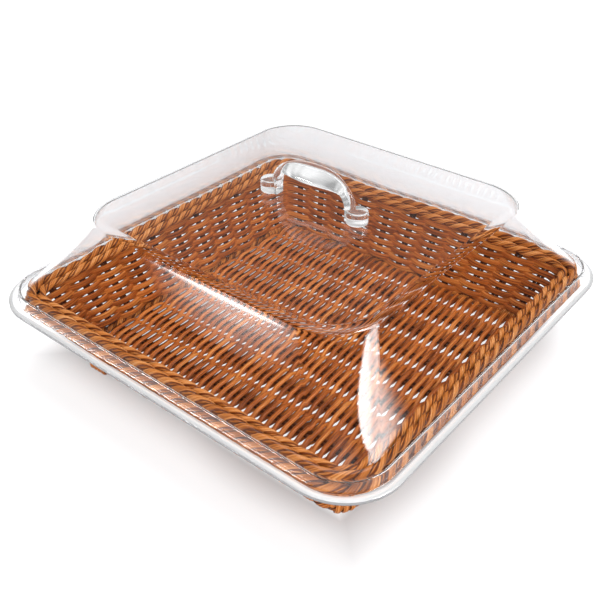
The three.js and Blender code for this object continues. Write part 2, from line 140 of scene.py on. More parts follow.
class LidSizes(bpy.types.PropertyGroup):
    sheet: length("Sheet", "Thickness of the clear sheet", 2.6)
    flange_width: length("Flange", "Width of the lid's rim flange", 7)
    skirt_height: length("Skirt height", "From the flange's underside to the shoulder's top", 12)
    skirt_lean: length("Skirt lean", "How far the skirt leans in", 2.6)
    shoulder_inner: length("Shoulder", "Half width at the shoulder's inner edge", 183)
    wall_height: length("Wall height", "Height of the lid's curved wall", 63)
    wall_inset: length("Wall inset", "How far the wall leans in", 42)
    bulge_height: length("Bulge height", "Height of the wall's control point", 24)
    bulge_inset: length("Bulge inset", "Inset of the wall's control point", 23)
    wall_top_corner: length("Wall top corner", "Corner radius where the wall ends", 42)
    top_rise: length("Top rise", "Rise of the bend round the flat top", 4.4)
    top_bend: length("Top bend", "Width of the bend round the flat top", 8)
    top_corner: length("Top corner", "Corner radius of the flat top", 38)
    rim_corner_centre: length("Rim corner centre", "Where the rim's corner arcs are centred", 151)
    handle_shift: length("Handle shift", "Place of the handle's middle along X", 2.8)
    handle_half_span: length("Handle half span", "Half of the arch's width", 44)
    leg_height: length("Leg height", "Upright part of the handle's legs", 6.3)
    arch_rise: length("Arch rise", "Rise of the handle's arch", 30.3)
    arch_squareness: FloatProperty(
        name="Squareness", description="Power of the arch's superellipse", default=2.4
    )
    leg_width: length("Leg width", "Width of the handle's legs", 10)
    leg_thickness: length("Leg thickness", "Thickness of the handle's legs", 8)
    leaf_width: length("Leaf width", "Width of the grip", 27)
    leaf_thickness: length("Leaf thickness", "Thickness of the grip", 12)
    leaf_half_length: length("Leaf half length", "Half of the grip's length", 35)
    pad_radius: length("Pad radius", "Radius of the pads under the legs", 9.3)
    pad_height: length("Pad height", "Height of the pads", 11)
    pad_shift: length("Pad shift", "How far the pads stand out past the legs", 2.2)
    pad_edge: length("Pad edge", "Radius of the pads' top edge", 1.6)
    pad_chamfer: length("Pad chamfer", "Chamfer at the pads' foot", 0.4)


def add(tree, kind, inputs=(), **settings):
    """Adds a node with its settings, and links or sets its inputs, given in order or by name."""
    node = tree.nodes.new(kind)
    for name, value in settings.items():
        setattr(node, name, value)
    for key, value in inputs.items() if isinstance(inputs, dict) else enumerate(inputs):
        if isinstance(value, bpy.types.Node):
            value = next(output for output in value.outputs if output.enabled)
        if isinstance(value, bpy.types.NodeSocket):
            tree.links.new(value, node.inputs[key])
        else:
            node.inputs[key].default_value = value
    return node


# Strands: a section swept along lines, with what the strand finish reads

SWEEP_INPUTS = {
    "Seed": "Int", "Width": "Float", "Thickness": "Float", "Wobble": "Float",
    "Section points": "Int", "Ridges": "Float", "Ridge depth": "Float", "Material": "Material",
}
FLAT_STRAND = {"Section points": 10, "Ridges": 5.0, "Ridge depth": 0.02}
BUNDLED_STRAND = {"Section points": 32, "Ridges": 8.0, "Ridge depth": 0.09}
WOBBLE_LENGTH = 45 * MM
# How far apart two strands can be in the noise that they wobble by, so that each has its own
WOBBLE_SPREAD = 60


def started(name, sockets):
    """A geometry tree with its named inputs, and the lines that it is given, as curves."""
    tree = bpy.data.node_groups.new(name, "GeometryNodeTree")
    tree.interface.new_socket("Geometry", in_out="INPUT", socket_type="NodeSocketGeometry")
    for label, kind in {**sockets, **SWEEP_INPUTS}.items():
        tree.interface.new_socket(label, in_out="INPUT", socket_type=f"NodeSocket{kind}")
    tree.interface.new_socket("Geometry", in_out="OUTPUT", socket_type="NodeSocketGeometry")
    given = add(tree, "NodeGroupInput").outputs
    return tree, given, add(tree, "GeometryNodeMeshToCurve", [given["Geometry"]])


def swept(tree, given, curves, facing, shift):
    """Ends a tree. The lines are shifted, wobble a little, get an oval section with ridges whose
    flat side faces the given way, and become one mesh. Each gets a random tone for its colour."""
    faced = add(tree, STORE, {"Geometry": curves, "Name": "facing", "Value": facing},
                data_type="FLOAT_VECTOR")
    shifted = add(tree, "GeometryNodeSetPosition", {"Geometry": faced, "Offset": shift})
    random = add(tree, "FunctionNodeRandomValue", {"Seed": given["Seed"]}, data_type="FLOAT")
    toned = add(tree, STORE, {"Geometry": shifted, "Name": "tone", "Value": random}, domain="CURVE")
    place = add(tree, "GeometryNodeInputPosition")
    rate = add(tree, VECTOR_MATH, {0: place, "Scale": 1 / WOBBLE_LENGTH}, operation="SCALE")
    seed = add(tree, MATH, [add(tree, READ, ["tone"]), WOBBLE_SPREAD], operation="MULTIPLY")
    noise = add(tree, NOISE, {"Vector": rate, "W": seed, "Scale": 1, "Detail": 1}, noise_dimensions="4D")
    centred = add(tree, VECTOR_MATH, [noise.outputs["Color"], (0.5, 0.5, 0.5)], operation="SUBTRACT")
    wobble = add(tree, VECTOR_MATH, {0: centred, "Scale": given["Wobble"]}, operation="SCALE")
    wavy = add(tree, "GeometryNodeSetPosition", {"Geometry": toned, "Offset": wobble})
    normal = add(tree, READ, ["facing"], data_type="FLOAT_VECTOR")
    turned = add(tree, "GeometryNodeSetCurveNormal", {"Curve": wavy, "Normal": normal}, mode="FREE")

    circle = add(tree, "GeometryNodeCurvePrimitiveCircle",
                 {"Resolution": given["Section points"], "Radius": 0.5})
    point = add(tree, "GeometryNodeInputPosition")
    aside = add(tree, "ShaderNodeSeparateXYZ", [point]).outputs["Y"]
    to_edge = add(tree, MATH, [add(tree, MATH, [aside], operation="ABSOLUTE"), 2], operation="MULTIPLY")
    ridge_turn = add(tree, MATH, [given["Ridges"], TURN], operation="MULTIPLY")
    ridge_angle = add(tree, MATH, [add(tree, "GeometryNodeSplineParameter"), ridge_turn],
                      operation="MULTIPLY")
    ridge = add(tree, MATH, [ridge_angle], operation="COSINE")
    bulge = add(tree, MATH, [ridge, given["Ridge depth"], 1], operation="MULTIPLY_ADD")
    valley = add(tree, MATH, [ridge, -0.5, 0.5], operation="MULTIPLY_ADD")
    edged = add(tree, STORE, {"Geometry": circle, "Name": "edge", "Value": to_edge})
    grooved = add(tree, STORE, {"Geometry": edged, "Name": "valley", "Value": valley})
    ridged_point = add(tree, VECTOR_MATH, {0: point, "Scale": bulge}, operation="SCALE")
    ridged = add(tree, "GeometryNodeSetPosition", {"Geometry": grooved, "Position": ridged_point})
    size = add(tree, "ShaderNodeCombineXYZ", [given["Thickness"], given["Width"], 1])
    oval = add(tree, "GeometryNodeTransform", {"Geometry": ridged, "Scale": size})
    section = add(tree, STORE, {"Geometry": oval, "Name": "section", "Value": point},
                  data_type="FLOAT_VECTOR")

    skin = add(tree, "GeometryNodeCurveToMesh",
               {"Curve": turned, "Profile Curve": section, "Fill Caps": True})
    smooth = add(tree, "GeometryNodeSetShadeSmooth", [skin])
    real = add(tree, "GeometryNodeRealizeInstances", [smooth])
    finished = add(tree, "GeometryNodeSetMaterial", {"Geometry": real, "Material": given["Material"]})
    add(tree, "NodeGroupOutput", [finished])
    return tree


def plain_tree():
    """Sweeps the lines as they are."""
    tree, given, lines = started("Plain strands", {})
    facing = add(tree, READ, ["facing"], data_type="FLOAT_VECTOR")
    return swept(tree, given, lines, facing, (0, 0, 0))


def rope_tree():
    """Twists strands round a ring or a line. They face away from its middle line."""
    tree, given, lines = started("Twisted rope", {
        "Strands": "Int", "Reach": "Float", "Lay": "Float", "Start": "Float",
    })
    copies = add(tree, DUPLICATE, {"Geometry": lines, "Amount": given["Strands"]}, domain="SPLINE")
    share = add(tree, MATH, [copies.outputs["Duplicate Index"], given["Strands"]], operation="DIVIDE")
    turns = add(tree, MATH, [add(tree, READ, ["along"]), given["Lay"]], operation="DIVIDE")
    all_turns = add(tree, MATH, [share, turns], operation="ADD")
    from_start = add(tree, MATH, [all_turns, given["Start"]], operation="ADD")
    angle = add(tree, MATH, [from_start, TURN], operation="MULTIPLY")
    parts = []
    for name, operation in (("outward", "COSINE"), ("upward", "SINE")):
        way = add(tree, READ, [name], data_type="FLOAT_VECTOR")
        wave = add(tree, MATH, [angle], operation=operation)
        parts.append(add(tree, VECTOR_MATH, {0: way, "Scale": wave}, operation="SCALE"))
    away = add(tree, VECTOR_MATH, parts, operation="ADD")
    shift = add(tree, VECTOR_MATH, {0: away, "Scale": given["Reach"]}, operation="SCALE")
    return swept(tree, given, copies, away, shift)


def row_tree():
    """Weaves rows in and out of the stakes, up a leaning wall."""
    tree, given, lines = started("Woven rows", {
        "Rows": "Int", "First row": "Int", "Row share": "Float", "First share": "Float",
        "Stakes": "Int", "Swing out": "Float", "Swing up": "Float",
    })
    copies = add(tree, DUPLICATE, {"Geometry": lines, "Amount": given["Rows"]}, domain="SPLINE")
    row = add(tree, MATH, [copies.outputs["Duplicate Index"], given["First row"]], operation="ADD")
    waves = add(tree, MATH, [add(tree, READ, ["turn"]), given["Stakes"]], operation="MULTIPLY")
    half_waves = add(tree, MATH, [waves, row], operation="ADD")
    angle = add(tree, MATH, [half_waves, math.pi], operation="MULTIPLY")
    wave = add(tree, MATH, [angle], operation="COSINE")
    height = add(tree, MATH, [row, given["Row share"], given["First share"]], operation="MULTIPLY_ADD")
    lean = add(tree, READ, ["lean"], data_type="FLOAT_VECTOR")
    outward = add(tree, READ, ["outward"], data_type="FLOAT_VECTOR")
    upward = add(tree, VECTOR_MATH, [lean], operation="NORMALIZE")
    shift = add(tree, VECTOR_MATH, {0: lean, "Scale": height}, operation="SCALE")
    for way, swing in ((outward, "Swing out"), (upward, "Swing up")):
        reach = add(tree, MATH, [wave, given[swing]], operation="MULTIPLY")
        part = add(tree, VECTOR_MATH, {0: way, "Scale": reach}, operation="SCALE")
        shift = add(tree, VECTOR_MATH, [shift, part], operation="ADD")
    return swept(tree, given, copies, outward, shift)


def twined_tree():
    """Twines two strands round each other along each line, half a turn between stakes. They
    change sides more quickly than a plain wave, by the quickness."""
    tree, given, lines = started("Twined pairs", {
        "Stake spacing": "Float", "Swing up": "Float", "Swing across": "Float", "Quickness": "Float",
    })
    copies = add(tree, DUPLICATE, {"Geometry": lines, "Amount": 2}, domain="SPLINE")
    spaces = add(tree, MATH, [add(tree, READ, ["along"]), given["Stake spacing"]], operation="DIVIDE")
    whole_turn = add(tree, MATH, [spaces, TURN], operation="MULTIPLY")
    ripple = add(tree, MATH, [whole_turn], operation="SINE")
    delay = add(tree, MATH, [ripple, given["Quickness"]], operation="MULTIPLY")
    half_turns = add(tree, MATH, [spaces, copies.outputs["Duplicate Index"]], operation="ADD")
    even = add(tree, MATH, [half_turns, math.pi], operation="MULTIPLY")
    angle = add(tree, MATH, [even, delay], operation="SUBTRACT")
    parts = {}
    for axis, operation, swing in (("X", "SINE", "Swing across"), ("Z", "COSINE", "Swing up")):
        wave = add(tree, MATH, [angle], operation=operation)
        parts[axis] = add(tree, MATH, [wave, given[swing]], operation="MULTIPLY")
    shift = add(tree, "ShaderNodeCombineXYZ", parts)
    return swept(tree, given, copies, (0, 0, 1), shift)


def working_object(mesh):
    """An object that holds a mesh while its modifiers work."""
    holder = bpy.data.objects.new("holder", mesh)
    bpy.context.scene.collection.objects.link(holder)
    return holder


def settled(holder):
    """The plain mesh that an object's modifiers leave."""
    return bpy.data.meshes.new_from_object(
        holder.evaluated_get(bpy.context.evaluated_depsgraph_get()))


def finished_piece(name, mesh, body, node):
    """A piece of the object, made from a mesh, that rides on a body and stands for a CAD node."""
    piece = bpy.data.objects.new(name, mesh)
    bpy.context.scene.collection.objects.link(piece)
    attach(piece, body)
    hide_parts(node)


def grown_piece(name, node, tree, lines, values, closed=False):
    """A piece of the basket that a tree makes of lines. Each line is a list of dicts, with a place
    and what the tree reads there."""
    mesh = bpy.data.meshes.new("lines")
    points = [point for line in lines for point in line]
    edges = []
    start = 0
    for line in lines:
        count = len(line)
        edges += [(start + k, start + (k + 1) % count) for k in range(count if closed else count - 1)]
        start += count
    mesh.from_pydata([point["at"] for point in points], edges, [])
    for key, value in points[0].items():
        if key == "at":
            continue
        if isinstance(value, Vector):
            attribute = mesh.attributes.new(key, "FLOAT_VECTOR", "POINT")
            attribute.data.foreach_set("vector", [c for point in points for c in point[key]])
        else:
            attribute = mesh.attributes.new(key, "FLOAT", "POINT")
            attribute.data.foreach_set("value", [point[key] for point in points])
    holder = working_object(mesh)
    modifier = holder.modifiers.new("strands", "NODES")
    modifier.node_group = tree
    for item in tree.interface.items_tree:
        if item.in_out == "INPUT" and item.name in values:
            modifier[item.identifier] = values[item.name]
    finished_piece(name, settled(holder), "basket", node)
    bpy.data.objects.remove(holder)
    bpy.data.meshes.remove(mesh)


# Where things are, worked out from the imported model


def ring(half, corner, z, straight_steps=64, arc_steps=16):
    """Points round a rounded square from the middle of its +X side, with their way outward."""
    straight = half - corner
    quarter = [(half, straight * k / straight_steps, 0.0) for k in range(straight_steps)]
    for k in range(arc_steps):
        angle = k / arc_steps * TURN / 4
        quarter.append((straight + corner * math.cos(angle), straight + corner * math.sin(angle), angle))
    quarter += [(straight * (1 - k / straight_steps), half, TURN / 4) for k in range(straight_steps)]
    points = []
    for side in range(4):
        turn = Matrix.Rotation(side * TURN / 4, 3, "Z")
        for x, y, angle in quarter:
            points.append({"at": turn @ Vector((x, y, 0)) + Vector((0, 0, z)),
                           "outward": turn @ Vector((math.cos(angle), math.sin(angle), 0))})
    return points


def with_reach(points):
    """Adds to each point how far it is along, in metres and as a share of the closed ring."""
    reach = 0.0
    for before, point in zip([points[0]] + points[:-1], points):
        reach += (point["at"] - before["at"]).length
        point["along"] = reach
    whole = reach + (points[0]["at"] - points[-1]["at"]).length
    for point in points:
        point["turn"] = point["along"] / whole
    return whole


def straight_line(start, end, steps, first=0.0, **carried):
    """Points from start to end, with how far along each is and what else it carries."""
    way = end - start
    return [{"at": start + way * (k / steps), "along": first + way.length * k / steps, **carried}
            for k in range(steps + 1)]


def rope_place(node, radius):
    """Half width and height of a ring node's middle line."""
    low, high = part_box(node)
    return high.x - radius, (low.z + high.z) / 2


# Finishes

# What differs between the strands' finishes: name, roughness, and how much painted shade darkens their
# edges
STRAND_FINISHES = {
    "strand": ("Poly rattan strand, woven", 0.42, 0.2),
    # The stakes take the strand's finish, painted darker for the shade inside the weave
    "stake": ("Poly rattan stake, darkened for painted shade", 0.42, 0.2),
    "rope": ("Poly rattan strand, twisted", 0.36, 0.24),
}
# How much painted shade darkens the grooves between a strand's ridges
PAINTED_GROOVE_SHADE = 0.08
# Fibres are drawn coarser than the real 0.3 mm, so that they show
FIBRE_WIDTH = 0.8 * MM
FIBRE_LENGTH = 40 * MM
FIBRE_DEPTH = 0.12 * MM
# The colour ramp's stops: its darkest, which the darkest fibres lean towards and the painted shade of the
# edges and grooves reaches, then dark, middle and light fibres
STOPS = (0.14, 0.34, 0.5, 0.66)
# The darkest stop's colour, for the darkest fibres and for the painted shade of edges and grooves
DEEPEST_FIBRE_AND_PAINTED_SHADE = "33170A"


def strand_finish(use):
    """Poly rattan strand: extruded polypropylene with drawn lengthwise grooves, waxy and half
    matte. The grooves are narrow fibres that run along the strand and catch the light."""
    name, roughness, painted_edge_shade = STRAND_FINISHES[use]
    if name in bpy.data.materials:
        return bpy.data.materials[name]
    colours = bpy.context.scene.basket_colours
    material = bpy.data.materials.new(name)
    material.use_nodes = True
    tree = material.node_tree
    shader = tree.nodes["Principled BSDF"]
    along, tone, edge, valley = [
        add(tree, "ShaderNodeAttribute", attribute_name=attribute).outputs["Fac"]
        for attribute in ("along", "tone", "edge", "valley")
    ]
    section = add(tree, "ShaderNodeAttribute", attribute_name="section").outputs["Vector"]
    fine = add(tree, VECTOR_MATH, {0: section, "Scale": 1 / FIBRE_WIDTH}, operation="SCALE")
    run = add(tree, MATH, [along, 1 / FIBRE_LENGTH], operation="MULTIPLY")
    run_along = add(tree, "ShaderNodeCombineXYZ", {"Z": run})
    place = add(tree, VECTOR_MATH, [fine, run_along], operation="ADD")
    seed = add(tree, MATH, [tone, 90], operation="MULTIPLY")
    fibres = add(tree, NOISE, {"Vector": place, "W": seed, "Scale": 1, "Detail": 3, "Roughness": 0.6},
                 noise_dimensions="4D")
    # Patches of lighter and darker colour are 25 mm long
    patch_place = add(tree, "ShaderNodeCombineXYZ", {"X": run})
    patches = add(tree, NOISE, {"Vector": patch_place, "W": seed, "Scale": 1.6, "Detail": 1},
                  noise_dimensions="4D")
    lightness = add(tree, MATH, [tone, 0.14, 0.02], operation="MULTIPLY_ADD")
    for part, weight in ((patches, 0.2), (fibres, 0.65)):
        lightness = add(tree, MATH, [part, weight, lightness], operation="MULTIPLY_ADD")
    # Painted shade: the thin edges, where strands lie against each other, and the grooves between the
    # ridges are darkened for the shade that falls there
    painted_crease_shade = add(tree, MAP_RANGE, [edge, 0.86, 1, 0, painted_edge_shade])
    painted_groove_shade = add(tree, MATH, [valley, PAINTED_GROOVE_SHADE, painted_crease_shade], operation="MULTIPLY_ADD")
    shaded_lightness = add(tree, MATH, [lightness, painted_groove_shade], operation="SUBTRACT")
    ramp = add(tree, "ShaderNodeValToRGB", [shaded_lightness])
    stops = ramp.color_ramp.elements
    stops[0].position = STOPS[0]
    stops[0].color = (*srgb(DEEPEST_FIBRE_AND_PAINTED_SHADE), 1)
    stops[1].position = STOPS[3]
    stops[1].color = (*getattr(colours, use + "_light"), 1)
    stops.new(STOPS[1]).color = (*getattr(colours, use + "_dark"), 1)
    stops.new(STOPS[2]).color = (*getattr(colours, use), 1)
    bump = add(tree, "ShaderNodeBump", {"Height": fibres, "Distance": FIBRE_DEPTH, "Strength": 0.8})
    tree.links.new(ramp.outputs["Color"], shader.inputs["Base Color"])
    tree.links.new(bump.outputs["Normal"], shader.inputs["Normal"])
    shader.inputs["Roughness"].default_value = roughness
    shader.inputs["IOR"].default_value = 1.49
    shader.inputs["Specular IOR Level"].default_value = 0.4
    return material


def clear_finish(name, tint, clearness=1.0):
    """Clear acrylic, thermoformed from a polished sheet: glassy, with a faint cold tint. Lamps
    shine through it, as they do through a real clear lid."""
    material = bpy.data.materials.new(name)
    material.use_nodes = True
    tree = material.node_tree
    shader = tree.nodes["Principled BSDF"]
    shader.inputs["Base Color"].default_value = (*tint, 1)
    shader.inputs["Transmission Weight"].default_value = clearness
    shader.inputs["Roughness"].default_value = 0
    shader.inputs["IOR"].default_value = 1.49
    clear = add(tree, "ShaderNodeBsdfTransparent", {"Color": (0.96, 0.96, 0.96, 1)})
    path = add(tree, "ShaderNodeLightPath").outputs
    surface = shader
    for light in ("Is Shadow Ray", "Is Diffuse Ray"):
        surface = add(tree, "ShaderNodeMixShader", [path[light], surface, clear])
    tree.links.new(surface.outputs[0], tree.nodes["Material Output"].inputs["Surface"])
    return material


def handle_finish():
    """Clear acrylic, moulded in one thick piece and polished. Light that is mirrored at its inner
    faces runs about in it and leaves it white, which an emission stands for."""
    colours = bpy.context.scene.basket_colours
    material = clear_finish("Clear acrylic, moulded", colours.lid, clearness=0.97)
    tree = material.node_tree
    end = tree.nodes["Material Output"].inputs["Surface"]
    glass = end.links[0].from_socket
    # Painted light: the glow from inside runs in streaks along the grip
    streak_length, streak_width = 60 * MM, 4 * MM
    place = add(tree, "ShaderNodeTexCoord").outputs["Object"]
    drawn = add(tree, VECTOR_MATH, [place, (1 / streak_length, 1 / streak_width, 1 / streak_width)],
                operation="MULTIPLY")
    glow_streaks = add(tree, NOISE, {"Vector": drawn, "Scale": 1, "Detail": 1})
    level = add(tree, MAP_RANGE, [glow_streaks, 0.38, 0.6, 0.35, 1])
    painted_inner_glow = add(tree, "ShaderNodeEmission", {"Color": (1, 1, 1, 1), "Strength": level})
    path = add(tree, "ShaderNodeLightPath").outputs
    straight_in = add(tree, MATH, [path["Transmission Depth"], 1.5], operation="LESS_THAN")
    side = add(tree, "ShaderNodeNewGeometry").outputs["Backfacing"]
    lit_side = add(tree, MATH, [side, straight_in], operation="MULTIPLY")
    from_inside = add(tree, "ShaderNodeMixShader", [lit_side, glass, painted_inner_glow])
    lit = add(tree, "ShaderNodeMixShader", [path["Glossy Depth"], glass, from_inside])
    tree.links.new(lit.outputs[0], end)
    return material


def steel_finish():
    """Drawn steel wire: bright, with fine lines round it from the die, a little over 1 mm apart."""
    material = bpy.data.materials.new("Steel wire, drawn")
    material.use_nodes = True
    tree = material.node_tree
    shader = tree.nodes["Principled BSDF"]
    place = add(tree, "ShaderNodeTexCoord").outputs["Object"]
    lines = add(tree, NOISE, {"Vector": place, "Scale": 0.9 / MM, "Detail": 2})
    rough = add(tree, MAP_RANGE, {"Value": lines, "To Min": 0.3, "To Max": 0.5})
    tree.links.new(rough.outputs[0], shader.inputs["Roughness"])
    shader.inputs["Base Color"].default_value = (*srgb("5C5A57"), 1)
    shader.inputs["Metallic"].default_value = 1
    return material


# Operators

# From a stake's middle to the middle of each of its two strands, in widths of a strand
HALF_STAKE = 0.52
# Lengths of the short pieces that the floor's lines are made of
TWINED_STEP = 2.6 * MM
STAKE_STEP = 8 * MM


class BASKET_OT_floor(bpy.types.Operator):
    """Weaves the basket's floor: stakes in pairs, with strands twined round them"""

    bl_idname = "basket.floor"
    bl_label = "Weave the floor"

    def execute(self, context):
        sizes = context.scene.basket_sizes
        low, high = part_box("floor_weave")
        middle_z = (low.z + high.z) / 2
        corner = sizes.foot_corner - (rope_place("foot_rope", sizes.foot_rope)[0] - high.x)
        straight = high.x - corner

        def line_end(side):
            past = max(0.0, abs(side) - straight)
            return straight + math.sqrt(max(0.0, corner ** 2 - past ** 2)) - sizes.strand_width / 2

        pairs = []
        edge = high.x - sizes.strand_width / 2
        first = math.ceil((-edge - sizes.pair_shift) / sizes.pair_spacing)
        last = math.floor((edge - sizes.pair_shift) / sizes.pair_spacing)
        for k in range(first, last + 1):
            x = sizes.pair_shift + k * sizes.pair_spacing
            end = line_end(x)
            steps = math.ceil(2 * end / TWINED_STEP)
            pairs.append(straight_line(Vector((x, -end, middle_z)), Vector((x, end, middle_z)), steps,
                                       first=-end))
        grown_piece("floor_strands", "floor_weave", twined_tree(), pairs, {
            "Stake spacing": sizes.floor_stake_spacing, "Swing up": sizes.pair_swing,
            "Swing across": -sizes.pair_sway, "Quickness": 0.42, "Seed": 3,
            "Width": sizes.strand_width, "Thickness": sizes.strand_thickness,
            "Wobble": 0.3 * MM, "Material": strand_finish("strand"), **FLAT_STRAND})

        stakes = []
        count = int(straight / sizes.floor_stake_spacing)
        for k in range(-count, count + 1):
            for side in (-1, 1):
                y = k * sizes.floor_stake_spacing + side * sizes.stake_width * HALF_STAKE
                end = line_end(y)
                steps = math.ceil(2 * end / STAKE_STEP)
                stakes.append(straight_line(Vector((-end, y, middle_z)), Vector((end, y, middle_z)), steps,
                                            facing=Vector((0, 0, 1))))
        # The stakes fill the room between a pair's upper and lower strand, and press in a little
        thickness = 2 * sizes.pair_swing - sizes.strand_thickness + 0.3 * MM
        grown_piece("floor_stakes", "floor_weave", plain_tree(), stakes, {
            "Seed": 5, "Width": sizes.stake_width, "Wobble": 0.6 * MM, "Thickness": thickness,
            "Material": strand_finish("stake"), **FLAT_STRAND})
        return {"FINISHED"}


class BASKET_OT_wall(bpy.types.Operator):
    """Weaves the leaning wall: three bands of rows, and the stakes that they go round"""

    bl_idname = "basket.wall"
    bl_label = "Weave the wall"

    def execute(self, context):
        sizes = context.scene.basket_sizes
        foot_half = rope_place("foot_rope", sizes.foot_rope)[0]
        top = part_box("upper_wale")[1]
        foot = ring(foot_half, sizes.foot_corner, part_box("lower_wale")[0].z)
        rim = ring(top.x - sizes.wall_thickness / 2, sizes.wall_top_corner, top.z)
        points = []
        for low_point, high_point in zip(foot, rim):
            lean = high_point["at"] - low_point["at"]
            flat_out = low_point["outward"]
            out = Vector((flat_out.x * lean.z, flat_out.y * lean.z, -lean.dot(flat_out))).normalized()
            points.append({"at": low_point["at"], "outward": out, "lean": lean})
        with_reach(points)
        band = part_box("wall_weave")
        gap_pitch = (band[1].z - band[0].z - 2 * sizes.gap_edge) / (sizes.gap_levels - 1)
        height = points[0]["lean"].z
        first_row_z = band[0].z + sizes.gap_edge - gap_pitch * (sizes.lower_rows + 0.5)
        tree = row_tree()
        first = 0
        middle_rows = sizes.wall_rows - sizes.lower_rows - sizes.upper_rows
        for name, node, rows, width in (
            ("lower_rows", "lower_wale", sizes.lower_rows, sizes.dense_row_width),
            ("wall_rows", "wall_weave", middle_rows, sizes.row_width),
            ("upper_rows", "upper_wale", sizes.upper_rows, sizes.dense_row_width),
        ):
            grown_piece(name, node, tree, [points], {
                "Rows": rows, "First row": first, "Row share": gap_pitch / height,
                "First share": (first_row_z - points[0]["at"].z) / height,
                "Stakes": sizes.wall_stakes, "Swing up": sizes.row_swing_up,
                "Swing out": (sizes.stake_thickness + sizes.strand_thickness) / 2,
                "Seed": 11 + first, "Width": width, "Thickness": sizes.strand_thickness,
                "Wobble": 0.7 * MM, "Material": strand_finish("strand"), **FLAT_STRAND}, closed=True)
            first += rows

        stakes = []
        for k in range(sizes.wall_stakes):
            nearest = min(points, key=lambda point: abs(point["turn"] - k / sizes.wall_stakes))
            aside = Vector((-nearest["outward"].y, nearest["outward"].x, 0)).normalized()
            for side in (-1, 1):
                start = nearest["at"] + aside * side * sizes.stake_width * HALF_STAKE
                stakes.append(straight_line(start, start + nearest["lean"], 10, facing=nearest["outward"]))
        grown_piece("wall_stakes", "wall_weave", plain_tree(), stakes, {
            "Seed": 8, "Width": sizes.stake_width, "Thickness": sizes.stake_thickness,
            "Wobble": 0.5 * MM, "Material": strand_finish("stake"), **FLAT_STRAND})
        return {"FINISHED"}


def twisted_ring(tree, node, half, corner, z, radius, values):
    """Two strands twisted round each other, in place of a ring node. Their width and thickness
    are given in radii of the rope, and the ring gets a whole number of lays."""
    points = ring(half, corner, z, 72, 20)
    whole = with_reach(points)
    for point in points:
        point["upward"] = Vector((0, 0, 1))
    thickness = radius * values["Thickness"]
    grown_piece(node + "_strands", node, tree, [points], {
        **values, "Strands": 2, "Reach": radius - thickness / 2, "Thickness": thickness,
        "Lay": whole / round(whole / values["Lay"]), "Width": radius * values["Width"],
        "Material": strand_finish("rope"), **BUNDLED_STRAND}, closed=True)


class BASKET_OT_border(bpy.types.Operator):
    """Twists the three border ropes round the rim wire"""

    bl_idname = "basket.border"
    bl_label = "Twist the border"

    def execute(self, context):
        sizes = context.scene.basket_sizes
        tree = rope_tree()
        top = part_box("upper_wale")[1]
        corner_centre = top.x - sizes.wall_thickness / 2 - sizes.wall_top_corner
        for node, radius, start, seed in (
            ("rim_rope_inner", sizes.inner_rope, 0.1, 21),
            ("rim_rope_middle", sizes.middle_rope, 0.35, 22),
            ("rim_rope_outer", sizes.outer_rope, 0.6, 23),
        ):
            half, z = rope_place(node, radius)
            twisted_ring(tree, node, half, half - corner_centre, z, radius, {
                "Lay": sizes.rope_lay, "Start": start, "Seed": seed, "Width": 1.28, "Thickness": 1.04,
                "Wobble": 0.9 * MM})
        steel = steel_finish()
        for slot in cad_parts["rim_wire"].material_slots:
            slot.material = steel
        return {"FINISHED"}


class BASKET_OT_foot(bpy.types.Operator):
    """Twists the foot rope and winds the four bindings that the basket stands on"""

    bl_idname = "basket.foot"
    bl_label = "Wind the foot"

    def execute(self, context):
        sizes = context.scene.basket_sizes
        tree = rope_tree()
        half, z = rope_place("foot_rope", sizes.foot_rope)
        twisted_ring(tree, "foot_rope", half, sizes.foot_corner, z, sizes.foot_rope, {
            "Lay": sizes.foot_lay, "Start": 0.2, "Seed": 31, "Width": 1.45, "Thickness": 1.02,
            "Wobble": 0.5 * MM})
        foot = ring(half, sizes.foot_corner, z, 270, 56)
        for point in foot:
            point["upward"] = Vector((0, 0, 1))
        for number in range(1, 5):
            node = f"foot_wrap_{number}"
            low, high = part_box(node)
            covered = [dict(point) for point in foot
                       if low.x < point["at"].x < high.x and low.y < point["at"].y < high.y]
            gap = max(range(len(covered)), key=lambda k: (covered[k]["at"] - covered[k - 1]["at"]).length)
            line = covered[gap:] + covered[:gap]
            with_reach(line)
            grown_piece(node + "_strand", node, tree, [line], {
                "Strands": 1, "Reach": z - low.z - sizes.binding_thickness / 2,
                "Lay": sizes.binding_lay, "Start": 0.1, "Seed": 40 + number,
                "Width": sizes.binding_width, "Thickness": sizes.binding_thickness,
                "Wobble": 0.0, "Material": strand_finish("rope"), **FLAT_STRAND})
        return {"FINISHED"}


def bend(start, control, end, steps):
    """Points along a bend with a control point, start left out. A point is half, z and corner."""
    points = []
    for step in range(1, steps + 1):
        t = step / steps
        mixed = [(1 - t) ** 2 * a + 2 * t * (1 - t) * b + t ** 2 * c
                 for a, b, c in zip(start, control, end)]
        mixed[2] = start[2] + (end[2] - start[2]) * t
        points.append(tuple(mixed))
    return points


def rounded(before, corner, after, size, steps=4):
    """A small round bend in place of a sharp corner of the section."""
    def toward(target):
        gap = math.hypot(target[0] - corner[0], target[1] - corner[1])
        share = min(0.5, size / gap)
        return tuple(c + (t - c) * share for c, t in zip(corner, target))
    start = toward(before)
    return [start] + bend(start, corner, toward(after), steps)


def rounded_square(half, corner, z, arc_steps=44, straight_steps=14):
    """Points round a level rounded square, with steps along its straight sides too."""
    straight = half - corner
    points = []
    for side in range(4):
        turn = Matrix.Rotation(side * TURN / 4, 2)
        for k in range(straight_steps):
            points.append((*(turn @ Vector((half, -straight + 2 * straight * k / straight_steps))), z))
        for k in range(arc_steps):
            angle = k / arc_steps * TURN / 4
            points.append((*(turn @ Vector((straight + corner * math.cos(angle),
                                            straight + corner * math.sin(angle)))), z))
    return points


